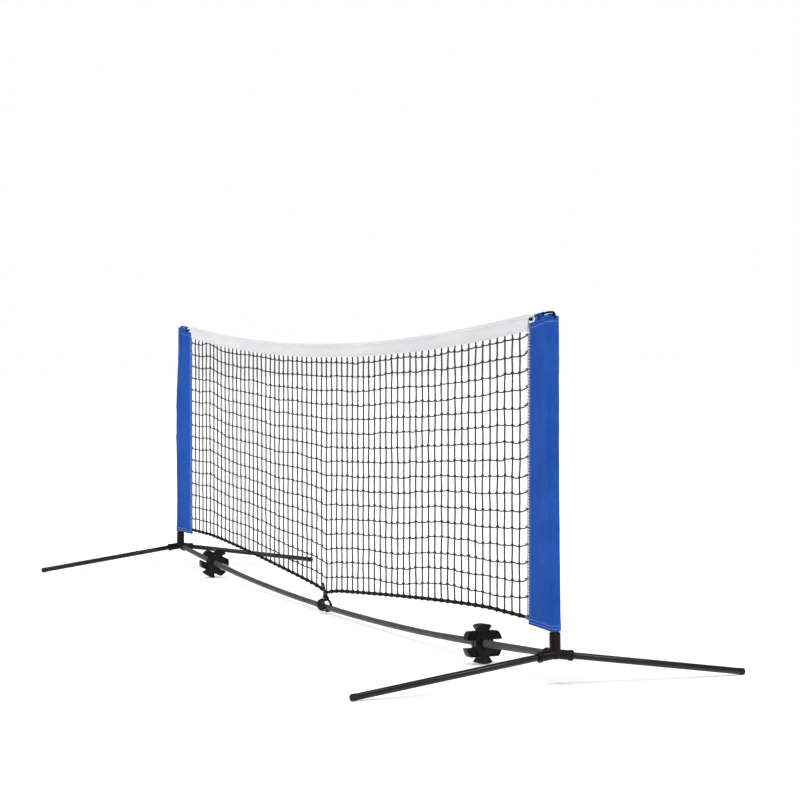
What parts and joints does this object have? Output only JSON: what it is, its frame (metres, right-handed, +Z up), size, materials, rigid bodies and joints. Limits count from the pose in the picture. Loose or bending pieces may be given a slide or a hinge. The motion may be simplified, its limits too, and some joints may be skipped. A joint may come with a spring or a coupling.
{
  "type": "portable badminton net",
  "caption": "Low free-standing net on T-shaped tube bases, with a bowed ground bar, leaning posts in fabric sleeves and a white head tape.",
  "frame": {"origin": "on the ground, half way between the two posts", "axes": "+X along the net, +Y across it, +Z up"},
  "size_m": [3.0266, 1.0214, 0.8724],
  "materials": {
    "black_lacquer": "gloss black lacquer on steel tube",
    "grey_lacquer": "satin dark grey lacquer on steel tube",
    "black_plastic": "moulded black plastic with a fine grain",
    "black_rubber": "soft black plug",
    "blue_fabric": "woven blue polyester, sewn hems",
    "white_tape": "woven white tape, folded and sewn",
    "black_cord": "laid black cord",
    "net_twine": "knotted dark twine",
    "black_webbing": "ribbed black webbing"
  },
  "bodies": {
    "base": {"hub_left": "black_plastic", "hub_right": "black_plastic", "bar_section_1": "grey_lacquer", "bar_section_2": "grey_lacquer", "bar_section_3": "grey_lacquer", "bar_section_4": "grey_lacquer", "bar_section_5": "grey_lacquer", "strap_loop": "black_webbing"},
    "leg_left_front": {"leg_left_front": "black_lacquer", "foot_left_front": "black_rubber"},
    "leg_left_back": {"leg_left_back": "black_lacquer", "foot_left_back": "black_rubber"},
    "leg_right_front": {"leg_right_front": "black_lacquer", "foot_right_front": "black_rubber"},
    "leg_right_back": {"leg_right_back": "black_lacquer", "foot_right_back": "black_rubber"},
    "roller_left": {"roller_left": "black_plastic"},
    "roller_right": {"roller_right": "black_plastic"},
    "post_left": {"post_left_lower": "black_lacquer", "post_left_upper": "black_lacquer", "post_left_cap": "black_plastic"},
    "post_right": {"post_right_lower": "black_lacquer", "post_right_upper": "black_lacquer", "post_right_cap": "black_plastic"},
    "net": {"head_tape": "white_tape", "headline_cord": "black_cord", "net_panel": "net_twine", "bottom_rope": "black_cord", "strap_tab": "black_webbing", "sleeve_left": "blue_fabric", "side_cord_left": "net_twine", "corner_loop_left": "blue_fabric", "eyelet_left": "black_plastic", "sleeve_right": "blue_fabric", "side_cord_right": "net_twine", "corner_loop_right": "blue_fabric", "eyelet_right": "black_plastic"}
  },
  "joints": [
    {"name": "leg_left_front_slide", "type": "slide", "parent": "base", "child": "leg_left_front", "axis": [0, -0.9904, -0.1379], "range_m": [0, 0.06]},
    {"name": "leg_left_back_slide", "type": "slide", "parent": "base", "child": "leg_left_back", "axis": [0, 0.9904, -0.1379], "range_m": [0, 0.06]},
    {"name": "leg_right_front_slide", "type": "slide", "parent": "base", "child": "leg_right_front", "axis": [0, -0.9904, -0.1379], "range_m": [0, 0.06]},
    {"name": "leg_right_back_slide", "type": "slide", "parent": "base", "child": "leg_right_back", "axis": [0, 0.9904, -0.1379], "range_m": [0, 0.06]},
    {"name": "roller_left_spin", "type": "hinge", "parent": "base", "child": "roller_left", "pos_m": [-1.1, 0, 0.05119], "axis": [0.9984, 0, -0.0566], "continuous": true},
    {"name": "roller_right_spin", "type": "hinge", "parent": "base", "child": "roller_right", "pos_m": [1.1, 0, 0.05119], "axis": [0.9984, 0, 0.0566], "continuous": true},
    {"name": "post_left_pull", "type": "slide", "parent": "base", "child": "post_left", "axis": [0.0279, 0, 0.9996], "range_m": [0, 0.045]},
    {"name": "post_right_pull", "type": "slide", "parent": "base", "child": "post_right", "axis": [-0.0279, 0, 0.9996], "range_m": [0, 0.045]},
    {"name": "net_lift", "type": "slide", "parent": "post_left", "child": "net", "axis": [0, 0, 1], "range_m": [0, 0.75]}
  ],
  "couplings": [
    {"joint": "post_right_pull", "follows": "post_left_pull", "ratio": 1}
  ]
}
